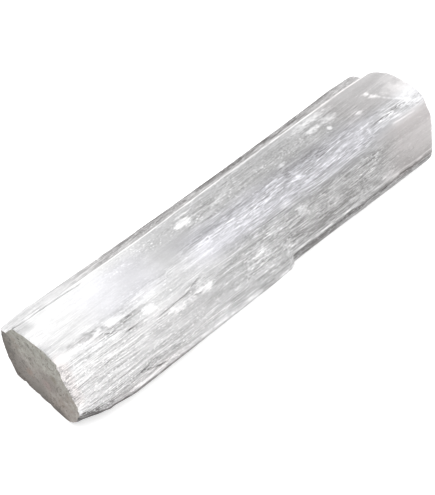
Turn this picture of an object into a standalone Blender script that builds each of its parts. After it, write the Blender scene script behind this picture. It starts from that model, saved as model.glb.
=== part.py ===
"""A selenite stick: one natural bundle of satin-spar fibres, lying on its flat underside.

+X runs along the fibres, from the sawn end to the far end. +Y is the rear and +Z is up.
The origin is under the middle of the stick, on the plane it rests on. The stick is one piece
of mineral, so it is one closed body: a loft between unlike sections. Places round a section
are counted from the ridge, over the crown, down the front, under the foot and up the rear.
"""

import bmesh
import bpy
import numpy as np
from mathutils import Vector, noise

MM = 0.001
NODE_NAME = "selenite_stick"
COLLECTION_NAME = "selenite_stick_parts"

# Driving dimensions, in millimetres.
LENGTH = 100.0
MIDDLE_ALONG = 51.05  # the distance along that lies over the origin
SECTION_EVERY = 2.7
END_SECTIONS = (0.0, 0.5, 1.4, 3.0, 5.2)  # closer sections where the saw left a worn rim
SPLINTER_BREAK = (55.2, 56.4, 57.2)  # closer sections where the front splinter broke off
SAWN_RIM_WEAR, SAWN_RIM_DEPTH = 0.2, 0.7
FAR_RIM_WEAR, FAR_RIM_DEPTH = 0.4, 1.4
FAR_ROUNDING_DEPTH = 7.0  # over this last stretch handling has rounded the corners off
FAR_ROUNDING_PASSES = 2
CAP_RINGS = (0.8, 0.55, 0.28)
SAWN_FACE_ROUGHNESS, FAR_FACE_ROUGHNESS = 0.15, 0.5
FACE_LUMP = 3.5  # size of the lumps on the end faces
HEART_Y, HEART_Z = -0.3, 7.8  # the end faces close on this fibre

# The strip of the underside that stays flat to stand on, as (front, rear).
FLAT_UNDERSIDE = (-5.5, 4.8)

# Laths: fibres split off in long flat strips, each broken to its own length and level.
LATH_SEED = 41
LATH_WIDTH = (1.7, 3.8)
LATH_LENGTH = (16.0, 60.0)
LATH_DEPTH = 0.38

# The scar where a flake came off the fold, and the crack behind the front splinter.
SCAR_ALONG, SCAR_AROUND, SCAR_DEPTH = (3.0, 21.0), (13.4, 18.6), 0.38
CRACK_ALONG, CRACK_AROUND, CRACK_DEPTH = (5.0, 22.5), (25.2, 26.8), 0.5

# Corners of the section, each followed along the stick as (along, y, z).
CORNERS = {
    "ridge": (
        (0, 7.1, 15.0), (35, 7.1, 15.0), (50, 7.6, 15.0),
        (64, 7.85, 15.1), (90, 8.25, 15.2), (100, 8.3, 15.2),
    ),
    "crown_rear": ((0, 3.6, 16.1), (50, 3.9, 16.2), (100, 3.9, 16.8)),
    "crown_front": ((0, -2.4, 16.3), (50, -2.3, 16.6), (100, -2.9, 17.0)),
    "fold": ((0, -5.8, 15.4), (5, -5.5, 15.2), (50, -5.5, 15.6), (100, -5.9, 16.1)),
    "brow": ((0, -8.5, 11.3), (5, -8.1, 11.2), (50, -8.4, 11.8), (100, -9.0, 12.6)),
    "crease": (
        (0, -11.1, 7.0), (4, -11.2, 6.6), (55, -10.8, 6.0), (57.4, -10.6, 4.1), (100, -10.6, 3.9),
    ),
    "splinter_edge": (
        (0, -11.6, 5.0), (2, -12.1, 4.4), (4, -12.6, 3.6), (6, -13.1, 3.2), (12, -13.5, 3.0),
        (26, -13.2, 3.0), (50, -12.7, 3.0), (55.2, -12.5, 3.0), (56.4, -12.0, 2.9), (57.2, -11.0, 2.7),
        (100, -10.9, 2.6),
    ),
    "undercut": (
        (0, -10.3, 2.0), (5, -11.6, 1.5), (12, -12.1, 1.4),
        (55.2, -11.2, 1.5), (57.2, -10.7, 1.6), (100, -10.6, 1.7),
    ),
    "foot_front": (
        (0, -8.5, 0), (18, -8.9, 0), (34, -7.6, 0), (58, -8.8, 0), (80, -7.4, 0), (100, -8.2, 0),
    ),
    "foot_rear": ((0, 7.4, 0), (6, 7.2, 0), (22, 8.0, 0), (45, 6.9, 0), (70, 8.1, 0), (100, 7.2, 0)),
    "rear_low": ((0, 9.75, 3.5), (6, 9.7, 3.4), (50, 10.6, 3.2), (100, 10.8, 3.4)),
    "rear_belly": ((0, 11.05, 7.8), (5, 12.3, 7.6), (50, 12.7, 7.8), (100, 13.6, 8.2)),
    "shelf_edge": (
        (0, 11.15, 11.2), (6, 11.6, 11.4), (40, 11.4, 11.4),
        (60, 11.7, 11.4), (82, 12.3, 11.4), (100, 13.1, 11.4),
    ),
    "shelf_root": ((0, 9.5, 11.6), (10, 8.5, 12.2), (26, 8.0, 12.7), (100, 9.0, 12.9)),
}
# How many steps the loft takes from each corner to the next.
STEPS = {
    "ridge": 5, "crown_rear": 8, "crown_front": 5, "fold": 7, "brow": 8, "crease": 5,
    "splinter_edge": 3, "undercut": 5, "foot_front": 14, "foot_rear": 6, "rear_low": 7,
    "rear_belly": 6, "shelf_edge": 5, "shelf_root": 3,
}
# Where the fibres of each corner end: the saw ran a little askew at the near end.
SAWN_END = {
    "ridge": 0.0, "crown_rear": 0.0, "crown_front": 0.3, "fold": 0.45, "brow": 0.4,
    "crease": 0.4, "splinter_edge": 0.2, "undercut": 0.0, "foot_front": 0.0, "foot_rear": 0.0,
    "rear_low": 0.0, "rear_belly": 0.0, "shelf_edge": 0.0, "shelf_root": 0.0,
}
FAR_END = {
    "ridge": 100.4, "crown_rear": 101.6, "crown_front": 102.2, "fold": 101.9, "brow": 101.4,
    "crease": 101.2, "splinter_edge": 100.9, "undercut": 100.3, "foot_front": 99.6, "foot_rear": 99.6,
    "rear_low": 99.7, "rear_belly": 99.7, "shelf_edge": 99.5, "shelf_root": 99.8,
}
# How split the fibres are at each corner: 0 for a clean cleavage face, 1 for a splintered one.
SPLITNESS = {
    "ridge": 0.15, "crown_rear": 0.2, "crown_front": 0.2, "fold": 0.6, "brow": 1.0, "crease": 0.9,
    "splinter_edge": 0.4, "undercut": 0.8, "foot_front": 1.0, "foot_rear": 1.0, "rear_low": 1.0,
    "rear_belly": 0.8, "shelf_edge": 0.25, "shelf_root": 0.3,
}


def round_the_section(corner_values):
    """Values round the ring, straight between one value (or one y and z) at each corner."""
    names = list(CORNERS)
    ring = []
    for name, following in zip(names, names[1:] + names[:1]):
        start, end = corner_values[name], corner_values[following]
        ring += [start + (end - start) * step / STEPS[name] for step in range(STEPS[name])]
    return np.array(ring)


def rounded_off(ring):
    """The ring with its corners eased by averaging neighbours."""
    for _ in range(FAR_ROUNDING_PASSES):
        ring = 0.5 * ring + 0.25 * (np.roll(ring, 1, axis=0) + np.roll(ring, -1, axis=0))
    return ring


def section(along):
    """The (y, z) points of one section, before wear and splits."""
    corners = {}
    for name, keys in CORNERS.items():
        places, ys, zs = np.array(keys, float).T
        corners[name] = np.array((np.interp(along, places, ys), np.interp(along, places, zs)))
    ring = round_the_section(corners)
    share = np.clip(1.0 - (LENGTH - along) / FAR_ROUNDING_DEPTH, 0.0, 1.0)
    return ring + (rounded_off(ring) - ring) * share


def distance_round(ring):
    """Millimetres from the ridge to each point of a section."""
    return np.concatenate(([0.0], np.cumsum(np.linalg.norm(np.diff(ring, axis=0), axis=1))))


def lath_depths(around, along):
    """How far each place lies under the outline, as side-by-side laths broken to lengths."""
    rng = np.random.default_rng(LATH_SEED)
    depths = np.zeros((len(along), len(around)))
    start = 0.0
    while start < around[-1]:
        end = start + rng.uniform(*LATH_WIDTH)
        breaks = np.cumsum(rng.uniform(*LATH_LENGTH, size=8)) - rng.uniform(0.0, LATH_LENGTH[1])
        levels = LATH_DEPTH * rng.random(len(breaks) + 1) ** 2
        in_lath = (around >= start) & (around < end)
        depths[:, in_lath] = levels[np.searchsorted(breaks, along)][:, None]
        start = end
    return depths


def window(values, span, fade):
    """1 inside a span, falling to 0 over a fade outside it."""
    outside = np.maximum(span[0] - values, values - span[1])
    return np.clip(1.0 - outside / fade, 0.0, 1.0)


def rim_wear(from_end, wear, depth):
    """How far a rounded rim is drawn in, at a distance from the end face."""
    into_rim = np.clip(1.0 - from_end / depth, 0.0, 1.0)
    return wear * (1.0 - np.sqrt(1.0 - into_rim**2))


def station_places():
    """Distances along the stick at which sections are taken."""
    regular = np.arange(END_SECTIONS[-1] + SECTION_EVERY, LENGTH - END_SECTIONS[-1], SECTION_EVERY)
    far = [LENGTH - place for place in END_SECTIONS]
    near_break = np.array(SPLINTER_BREAK)
    clear = regular[np.min(np.abs(regular[:, None] - near_break), axis=1) > SECTION_EVERY / 3]
    return np.array(sorted([*END_SECTIONS, *clear, *SPLINTER_BREAK, *far]))


def loft_points():
    """The stick's outer surface as a (section, place round it, xyz) grid, in millimetres."""
    places = station_places()
    outline = np.array([section(place) for place in places])
    around = distance_round(section(LENGTH / 2))
    tangent = np.roll(outline, -1, axis=1) - np.roll(outline, 1, axis=1)
    tangent /= np.linalg.norm(tangent, axis=2, keepdims=True)
    inward = np.stack((-tangent[..., 1], tangent[..., 0]), axis=-1)

    depth = lath_depths(around, places) * round_the_section(SPLITNESS)
    depth += SCAR_DEPTH * np.outer(window(places, SCAR_ALONG, 1.5), window(around, SCAR_AROUND, 0.8))
    depth += CRACK_DEPTH * np.outer(window(places, CRACK_ALONG, 3.0), window(around, CRACK_AROUND, 0.5))
    depth += rim_wear(places, SAWN_RIM_WEAR, SAWN_RIM_DEPTH)[:, None]
    depth += rim_wear(LENGTH - places, FAR_RIM_WEAR, FAR_RIM_DEPTH)[:, None]
    depth *= 1.0 - window(outline[..., 0], FLAT_UNDERSIDE, 0.6) * window(outline[..., 1], (0.0, 0.0), 1.2)
    surface = outline + inward * depth[..., None]
    surface[..., 1] = np.maximum(surface[..., 1], 0.0)

    sawn_end = round_the_section(SAWN_END)[None, :]
    far_end = rounded_off(round_the_section(FAR_END))[None, :]
    along = sawn_end + places[:, None] * (far_end - sawn_end) / LENGTH
    return np.concatenate(((along - MIDDLE_ALONG)[..., None], surface), axis=-1)


def add_cap(mesh, rim, outward, roughness):
    """Closes an end with gently lumpy rings that shrink onto the heart fibre."""
    heart = np.array((np.mean([vertex.co.x for vertex in rim]) / MM, HEART_Y, HEART_Z))
    outer = rim
    for share in CAP_RINGS:
        inner = []
        for vertex in rim:
            point = heart + (np.array(vertex.co) / MM - heart) * share
            point[0] += roughness * noise.noise(Vector(point) / FACE_LUMP)
            inner.append(mesh.verts.new(point * MM))
        add_band(mesh, outer, inner, outward)
        outer = inner
    centre = mesh.verts.new(heart * MM)
    for first, second in zip(outer, outer[1:] + outer[:1]):
        mesh.faces.new((first, second, centre) if outward else (second, first, centre))


def add_band(mesh, ring_a, ring_b, forwards):
    """Joins two rings with quads."""
    for a, a_next, b, b_next in zip(ring_a, ring_a[1:] + ring_a[:1], ring_b, ring_b[1:] + ring_b[:1]):
        mesh.faces.new((a, a_next, b_next, b) if forwards else (a, b, b_next, a_next))


def selenite_material():
    material = bpy.data.materials.new("satin_spar")
    material.use_nodes = True
    shader = material.node_tree.nodes["Principled BSDF"]
    shader.inputs["Base Color"].default_value = (0.74, 0.73, 0.74, 1.0)
    shader.inputs["Roughness"].default_value = 0.35
    shader.inputs["Metallic"].default_value = 0.0
    return material


def clear_scene():
    for item in list(bpy.data.objects):
        bpy.data.objects.remove(item, do_unlink=True)


def build_stick(collection):
    mesh = bmesh.new()
    rings = [[mesh.verts.new(point * MM) for point in ring] for ring in loft_points()]
    for ring, following in zip(rings, rings[1:]):
        add_band(mesh, ring, following, True)
    add_cap(mesh, rings[0], False, SAWN_FACE_ROUGHNESS)
    add_cap(mesh, rings[-1], True, FAR_FACE_ROUGHNESS)
    bmesh.ops.recalc_face_normals(mesh, faces=mesh.faces)
    data = bpy.data.meshes.new(NODE_NAME)
    mesh.to_mesh(data)
    mesh.free()
    data.materials.append(selenite_material())
    stick = bpy.data.objects.new(NODE_NAME, data)
    collection.objects.link(stick)
    return stick


def main():
    clear_scene()
    collection = bpy.data.collections.new(COLLECTION_NAME)
    bpy.context.scene.collection.children.link(collection)
    stick = build_stick(collection)
    lows = [min(corner[axis] for corner in stick.bound_box) / MM for axis in range(3)]
    highs = [max(corner[axis] for corner in stick.bound_box) / MM for axis in range(3)]
    print("stick from", [round(low, 2) for low in lows], "to", [round(high, 2) for high in highs], "mm")


main()
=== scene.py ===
# %% [markdown]
# # A selenite stick
# Selenite in this fibrous form is called satin spar: gypsum that grew as a bundle of parallel
# fibres. The stick was split from a vein and sawn at its ends, so it has long silky faces, broken
# laths, crushed white bruises and dull cut ends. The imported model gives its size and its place.
# Here the same loft is made again with a far finer net, and then gets its relief and its finish.

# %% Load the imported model
import math

import bpy
import numpy as np
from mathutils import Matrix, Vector, noise


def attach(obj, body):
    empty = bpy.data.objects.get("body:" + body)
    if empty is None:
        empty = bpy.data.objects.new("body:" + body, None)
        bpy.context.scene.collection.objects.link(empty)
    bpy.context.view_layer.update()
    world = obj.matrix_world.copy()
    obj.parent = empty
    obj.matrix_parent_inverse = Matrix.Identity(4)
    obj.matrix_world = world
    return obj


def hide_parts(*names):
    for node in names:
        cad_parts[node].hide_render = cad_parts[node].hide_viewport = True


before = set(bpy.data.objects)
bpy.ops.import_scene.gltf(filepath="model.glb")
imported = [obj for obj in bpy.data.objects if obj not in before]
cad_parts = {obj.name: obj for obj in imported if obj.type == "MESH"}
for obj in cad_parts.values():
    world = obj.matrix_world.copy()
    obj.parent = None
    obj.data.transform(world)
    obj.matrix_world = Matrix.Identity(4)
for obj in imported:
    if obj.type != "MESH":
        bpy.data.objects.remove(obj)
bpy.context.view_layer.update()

MM = 0.001

# %% [markdown]
# ## The stick's outline
# A split crystal bundle has no smooth profile: its section is an uneven many-sided ring that
# changes slowly along the fibres. It could be sculpted, or cut from a block. A loft is chosen
# because each corner of the section, such as the ridge or the broken front splinter, can then be
# followed along the stick by name. "Along" counts millimetres from the sawn end, and "around"
# counts them from the ridge, over the crown, down the front, under the foot and up the rear.

# %% Corners of the section, as (along, y, z) in millimetres
LENGTH = 100.0
MIDDLE_ALONG = 51.05
CORNERS = {
    "ridge": (
        (0, 7.1, 15.0), (35, 7.1, 15.0), (50, 7.6, 15.0), (64, 7.85, 15.1), (90, 8.25, 15.2),
        (100, 8.3, 15.2),
    ),
    "crown_rear": ((0, 3.6, 16.1), (50, 3.9, 16.2), (100, 3.9, 16.8)),
    "crown_front": ((0, -2.4, 16.3), (50, -2.3, 16.6), (100, -2.9, 17.0)),
    "fold": ((0, -5.8, 15.4), (5, -5.5, 15.2), (50, -5.5, 15.6), (100, -5.9, 16.1)),
    "brow": ((0, -8.5, 11.3), (5, -8.1, 11.2), (50, -8.4, 11.8), (100, -9.0, 12.6)),
    "crease": (
        (0, -11.1, 7.0), (4, -11.2, 6.6), (55, -10.8, 6.0), (57.4, -10.6, 4.1), (100, -10.6, 3.9),
    ),
    "splinter_edge": (
        (0, -11.6, 5.0), (2, -12.1, 4.4), (4, -12.6, 3.6), (6, -13.1, 3.2), (12, -13.5, 3.0),
        (26, -13.2, 3.0), (50, -12.7, 3.0), (55.2, -12.5, 3.0), (56.4, -12.0, 2.9),
        (57.2, -11.0, 2.7), (100, -10.9, 2.6),
    ),
    "undercut": (
        (0, -10.3, 2.0), (5, -11.6, 1.5), (12, -12.1, 1.4),
        (55.2, -11.2, 1.5), (57.2, -10.7, 1.6), (100, -10.6, 1.7),
    ),
    "foot_front": (
        (0, -8.5, 0), (18, -8.9, 0), (34, -7.6, 0), (58, -8.8, 0), (80, -7.4, 0), (100, -8.2, 0),
    ),
    "foot_rear": (
        (0, 7.4, 0), (6, 7.2, 0), (22, 8.0, 0), (45, 6.9, 0), (70, 8.1, 0), (100, 7.2, 0),
    ),
    "rear_low": ((0, 9.75, 3.5), (6, 9.7, 3.4), (50, 10.6, 3.2), (100, 10.8, 3.4)),
    "rear_belly": ((0, 11.05, 7.8), (5, 12.3, 7.6), (50, 12.7, 7.8), (100, 13.6, 8.2)),
    "shelf_edge": (
        (0, 11.15, 11.2), (6, 11.6, 11.4), (40, 11.4, 11.4), (60, 11.7, 11.4), (82, 12.3, 11.4),
        (100, 13.1, 11.4),
    ),
    "shelf_root": ((0, 9.5, 11.6), (10, 8.5, 12.2), (26, 8.0, 12.7), (100, 9.0, 12.9)),
}
names = list(CORNERS)
sides = list(zip(names, names[1:] + names[:1]))

# %% Where the fibres end, and how split they are
# The saw ran a little askew at the near end, and the far end is uneven.
SAWN_END = dict.fromkeys(names, 0.0)
SAWN_END.update(crown_front=0.3, fold=0.45, brow=0.4, crease=0.4, splinter_edge=0.2)
FAR_END = {
    "ridge": 100.4, "crown_rear": 101.6, "crown_front": 102.2, "fold": 101.9, "brow": 101.4,
    "crease": 101.2, "splinter_edge": 100.9, "undercut": 100.3, "foot_front": 99.6,
    "foot_rear": 99.6, "rear_low": 99.7, "rear_belly": 99.7, "shelf_edge": 99.5,
    "shelf_root": 99.8,
}
# 0 for a clean cleavage face, 1 for a splintered one.
SPLITNESS = {
    "ridge": 0.15, "crown_rear": 0.2, "crown_front": 0.2, "fold": 0.6, "brow": 1.0,
    "crease": 0.9, "splinter_edge": 0.4, "undercut": 0.8, "foot_front": 1.0, "foot_rear": 1.0,
    "rear_low": 1.0, "rear_belly": 0.8, "shelf_edge": 0.25, "shelf_root": 0.3,
}

# %% How finely the loft is netted
# Most of the net is spent where it shows. The foot, which lies on the table, takes wider steps.
FINE_STEP = 0.132
FOOT_STEP = 0.30
STATION_STEP = 0.5
RIM_STATIONS = (0.12, 0.28, 0.75)
SPLINTER_STATIONS = (55.75, 56.2, 56.7, 57.2)


def corner_at(name, along):
    """A corner's (y, z) at each distance along, as a (place, 2) array."""
    places, ys, zs = np.array(CORNERS[name], float).T
    return np.stack((np.interp(along, places, ys), np.interp(along, places, zs)), axis=-1)


def steps_from(name, following):
    """How many steps the loft takes from one corner to the next."""
    span = np.linalg.norm(corner_at(name, LENGTH / 2) - corner_at(following, LENGTH / 2))
    return max(2, round(span / (FOOT_STEP if name == "foot_front" else FINE_STEP)))


STEPS = {name: steps_from(name, following) for name, following in sides}
print("places round the section:", sum(STEPS.values()))

# %% The sections, one after another
def round_the_section(corner_values):
    """Values round the ring, straight between the values given at the corners."""
    ring = []
    for name, following in sides:
        start, end = corner_values[name], corner_values[following]
        ring += [start + (end - start) * step / STEPS[name] for step in range(STEPS[name])]
    return np.array(ring)


def station_places():
    """Distances along, closer at the ends and where the splinter broke off."""
    regular = np.arange(0.0, LENGTH + STATION_STEP / 2, STATION_STEP)
    far_rim = [LENGTH - place for place in RIM_STATIONS]
    return np.unique(np.concatenate((regular, RIM_STATIONS, SPLINTER_STATIONS, far_rim)))


def smoothed(values, reach, axis):
    """An average round the ring, weighted by a bell curve of the given reach in millimetres."""
    total, weights = 0.0, 0.0
    widest = int(3 * reach / FINE_STEP)
    for step in range(-widest, widest + 1):
        weight = math.exp(-0.5 * (step * FINE_STEP / reach) ** 2)
        total = total + weight * np.roll(values, step, axis=axis)
        weights += weight
    return total / weights


along = station_places()
corner_rows = {name: corner_at(name, along) for name in names}
outline = round_the_section(corner_rows).transpose(1, 0, 2)
middle = outline[len(along) // 2]
steps_round = np.linalg.norm(np.diff(middle, axis=0), axis=1)
around = np.concatenate(([0.0], np.cumsum(steps_round)))
# Handling has rounded the corners off at the far end.
ROUNDED_LENGTH, ROUNDED_REACH = 7.0, 0.9
rounding = np.clip(1.0 - (LENGTH - along) / ROUNDED_LENGTH, 0.0, 1.0)[:, None, None]
outline = outline + (smoothed(outline, ROUNDED_REACH, 1) - outline) * rounding
print("net:", outline.shape[:2], "girth %.1f mm" % around[-1])

# %% [markdown]
# ## Split laths
# When satin spar is split, strips of fibres come away, each ending where it snapped. The faces are
# therefore flights of long flat steps, from a few millimetres wide down to a hair. A texture alone
# would leave the outline and the shadows smooth, so the steps are real: the ring is divided into
# side-by-side laths, each lath is broken into lengths, and each length lies at its own level. The
# broadest laths are the model's own; finer ones are laid over them.

# %% Helpers that fade in and out
def ramp(values, start, end):
    """0 before start, 1 after end, with a smooth rise between."""
    share = np.clip((values - start) / (end - start), 0.0, 1.0)
    return share * share * (3.0 - 2.0 * share)


def window(values, span, fade):
    """1 inside a span, falling to 0 over a fade outside it."""
    outside = np.maximum(span[0] - values, values - span[1])
    return np.clip(1.0 - outside / fade, 0.0, 1.0)


# %% Noise over the net
FINER_WEIGHT = 0.55


def grain(seed, length, width, octaves=2):
    """Smooth noise from -1 to 1 over the net, drawn out along the fibres."""
    rng = np.random.default_rng(seed)
    total = np.zeros((len(along), len(around)))
    weight = 1.0
    for octave in range(octaves):
        cell_along, cell_around = length / 2**octave, width / 2**octave
        columns = int(around[-1] / cell_around) + 2
        rows = int(LENGTH / cell_along) + 3
        values = rng.uniform(-1.0, 1.0, (rows, columns))
        row, column = along / cell_along, around / cell_around
        r, c = row.astype(int), column.astype(int)
        fr, fc = ramp(row - r, 0, 1)[:, None], ramp(column - c, 0, 1)[None, :]
        near = values[np.ix_(r, c)] * (1 - fc) + values[np.ix_(r, c + 1)] * fc
        far = values[np.ix_(r + 1, c)] * (1 - fc) + values[np.ix_(r + 1, c + 1)] * fc
        total += weight * (near * (1 - fr) + far * fr)
        weight *= FINER_WEIGHT
    return total / (1.0 + FINER_WEIGHT * (octaves > 1))


# %% One layer of laths
def laths(seed, width, length, depth, slant=0.0, lean=0.0, sway=0.0):
    """How far each place lies under the outline: laths with slanting breaks and leaning faces."""
    rng = np.random.default_rng(seed)
    lean_rng = np.random.default_rng(seed + 1000)
    breaks_each = int(3 * LENGTH / sum(length)) + 5
    swayed = around[None, :] + sway * grain(seed + 500, 7.0, 3.0)
    along_net = np.broadcast_to(along[:, None], swayed.shape)
    depths = np.zeros(swayed.shape)
    start = 0.0
    while start < around[-1]:
        end = start + rng.uniform(*width)
        breaks = np.cumsum(rng.uniform(*length, size=breaks_each)) - rng.uniform(0.0, length[1])
        levels = depth * rng.random(breaks_each + 1) ** 2
        leans = lean * lean_rng.uniform(-1.0, 1.0, breaks_each + 1)
        skew = lean_rng.uniform(-slant, slant)
        inside = (swayed >= start) & (swayed < end)
        across = swayed[inside] - start
        piece = np.searchsorted(breaks, along_net[inside] - skew * across)
        depths[inside] = levels[piece] + leans[piece] * (across / (end - start) - 0.5)
        start = end
    return depths


# %% Four layers, from broad laths to hairs
BROAD_DEPTH, MIDDLING_DEPTH, NARROW_DEPTH, HAIR_DEPTH = 0.38, 0.17, 0.07, 0.035
broad = laths(41, (1.7, 3.8), (16.0, 60.0), BROAD_DEPTH)
middling = laths(42, (0.45, 1.5), (5.0, 30.0), MIDDLING_DEPTH, slant=5.0, lean=0.12, sway=0.20)
narrow = laths(43, (0.16, 0.5), (2.5, 18.0), NARROW_DEPTH, slant=4.0, lean=0.05, sway=0.15)
hair = laths(44, (0.14, 0.28), (1.5, 9.0), HAIR_DEPTH, slant=3.0, sway=0.15)
splitness = round_the_section(SPLITNESS)[None, :]
# The fine laths are lower on clean faces, and beyond the first fifth of the stick.
calmer = 1.0 - 0.45 * np.clip((along - 20.0) / 30.0, 0.0, 1.0)[:, None]
fine_laths = np.maximum(middling, 0.0) + np.maximum(narrow, 0.0)
relief = broad * splitness + fine_laths * (0.15 + 0.85 * splitness) * calmer + hair
print("lath relief: mean %.3f, deepest %.3f mm" % (relief.mean(), relief.max()))

# %% How light each lath looks
# Lath levels are squares of even draws, so they average a third of their depth. Laths that stand
# higher than that are painted lighter, as a painted highlight, and lower ones darker, as painted
# shade.
MEAN_LEVEL = 0.33
near_front = np.outer(1.0 - ramp(along, 18.0, 44.0), window(around, (14.0, 27.0), 2.0))
narrow_tone = MEAN_LEVEL - narrow / NARROW_DEPTH
hair_tone = MEAN_LEVEL - hair / HAIR_DEPTH
lath_tone = 0.06 * (MEAN_LEVEL - middling / MIDDLING_DEPTH)
lath_tone = lath_tone + narrow_tone * (0.09 + 0.03 * near_front)
lath_tone += hair_tone * (0.09 + 0.05 * near_front)
unbroken = ramp(grain(45, 2.4, 0.6, 3), -0.45, 0.45)
lath_tone *= 1.0 - 0.55 * near_front * (1.0 - unbroken)
print("lath tone: from %.2f to %.2f" % (lath_tone.min(), lath_tone.max()))

# %% [markdown]
# ## Breaks, scars and bruises
# A stick that is knocked about gets marks of three kinds. A flake springs off and leaves a scar
# with a ragged step. A splinter starts to part and leaves a dark crack along the fibres. A blow
# crushes the fibres to white powder. Each could be painted, but then it would cast no shadow, so
# the marks are cut into the relief as well. Each is placed by its distance along and around.

# %% Helpers that shape a mark
def follow(route):
    """The place around at each station, straight between a route's (along, around) points."""
    places, rounds = np.array(route, float).T
    return np.interp(along, places, rounds)


def line_mark(route, half_width, wander=0.0, seed=0):
    """A mark along a route: 1 on the line, 0 beside it."""
    centre = follow(route) + wander * grain(seed, 2.0, 40.0)[:, 0]
    beside = np.abs(around[None, :] - centre[:, None]) / half_width
    ends = window(along, (route[0][0], route[-1][0]), 1.0)
    return np.clip(1.0 - beside, 0.0, 1.0) * ends[:, None]


def strongest_marks(rows, wander, first_seed):
    """The strongest mark at each place, from rows of (route, half width, strength)."""
    strongest = np.zeros_like(relief)
    for number, (route, half_width, strength) in enumerate(rows):
        mark = line_mark(route, half_width, wander, first_seed + number)
        strongest = np.maximum(strongest, strength * mark)
    return strongest


# %% The scar on the fold
SCAR_EDGE = ((3.0, 12.2), (8.0, 12.9), (12.2, 14.4), (17.0, 16.5), (20.0, 16.9))
scar_edge = follow(SCAR_EDGE)[:, None] + 0.45 * grain(51, 1.6, 60.0, 3)[:, :1]
into_scar = around[None, :] - scar_edge
scales = ramp(grain(53, 0.9, 0.7, 3), -0.45, 0.35)
scar_ends = window(along, (3.8, 18.5), 1.8)[:, None]
scar = ramp(into_scar, -0.7, 0.3) * (1.0 - ramp(into_scar, 0.8, 3.6)) * scar_ends
# The step is also cut into the relief, and further down its edge is darkened with painted shade.
scar_step = window(into_scar, (-0.45, 0.45), 0.7) * scar_ends * (0.25 + 0.75 * scales)
# Painted shade of the scar: soft grey strokes where the flake tore off, as (route, half width, how
# dark).
TORN_SHADE_STROKES = (
    (((2.8, 11.8), (5.0, 12.1), (7.0, 12.4)), 0.75, 0.16),
    (((12.0, 13.9), (14.5, 14.1), (16.5, 14.0), (18.6, 14.0)), 0.80, 0.36),
    (((10.6, 11.1), (13.5, 11.6), (16.5, 12.3)), 0.90, 0.12),
    (((16.5, 14.2), (19.0, 14.0), (21.5, 13.5)), 0.32, 0.16),
    (((8.2, 12.3), (10.2, 12.5), (12.2, 13.3)), 1.15, 0.62),
)
torn_shade = strongest_marks(TORN_SHADE_STROKES, 0.05, 100)
print("scar covers %.1f%% of the net" % (100 * (scar > 0.5).mean()))

# %% Cracks, as (route, half width, depth, how dark)
CRACKS = (
    (((0.0, 0.3), (8.5, 0.5), (15.5, 0.8)), 0.34, 0.26, 1.5),
    (
        ((23.6, 18.3), (25.5, 18.0), (28.0, 17.9), (30.6, 17.6), (31.8, 17.1), (33.4, 16.3)),
        0.16, 0.16, 0.8,
    ),
    (((22.7, 19.1), (23.7, 18.1)), 0.16, 0.08, 0.5),
    (((34.4, 20.2), (36.8, 19.9)), 0.15, 0.06, 0.5),
    (((1.0, 16.5), (2.5, 16.4), (8.8, 16.0)), 0.15, 0.14, 0.7),
    (((7.5, 26.0), (12.0, 26.0), (16.5, 25.6), (19.8, 25.2)), 0.16, 0.20, 0.5),
    (((15.6, 25.7), (17.8, 26.3), (20.2, 26.9)), 0.20, 0.18, 0.6),
    (((14.2, 17.0), (16.0, 16.9), (17.8, 16.7)), 0.17, 0.12, 0.7),
    (((7.2, 13.1), (8.2, 12.9)), 0.20, 0.10, 0.6),
    (((10.9, 13.8), (11.5, 14.3), (12.4, 14.9)), 0.22, 0.12, 0.9),
    (((2.0, 20.3), (11.0, 19.5)), 0.15, 0.14, 0.6),
    (((0.5, 23.6), (7.5, 23.0)), 0.17, 0.16, 0.7),
    (((4.0, 24.6), (14.0, 24.2)), 0.15, 0.14, 0.6),
    (((31.0, 22.2), (40.0, 22.4)), 0.14, 0.06, 0.2),
    (((44.0, 15.2), (58.0, 15.6)), 0.14, 0.10, 0.45),
)
CRACK_WANDER = 0.16
cracks = np.zeros_like(relief)
crack_shade = np.zeros_like(relief)
for number, (route, half_width, deep, dark) in enumerate(CRACKS):
    mark = line_mark(route, half_width, CRACK_WANDER, 60 + number)
    cracks += deep * mark
    crack_shade = np.maximum(crack_shade, dark * mark)
# The crevice under the splinter's edge, near the sawn end, is cut in and also darkened as painted
# shade.
crevice = np.outer(1.0 - ramp(along, 6.0, 14.0), window(around, (26.9, 28.6), 0.6))
crevice = crevice * (0.35 + 0.65 * ramp(grain(54, 1.2, 0.5, 3), -0.6, 0.3))
relief += 0.10 * scar + 0.10 * scar_step * scales + cracks + 0.25 * crevice
print("cracks:", len(CRACKS), "deepest place now %.2f mm" % relief.max())

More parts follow.
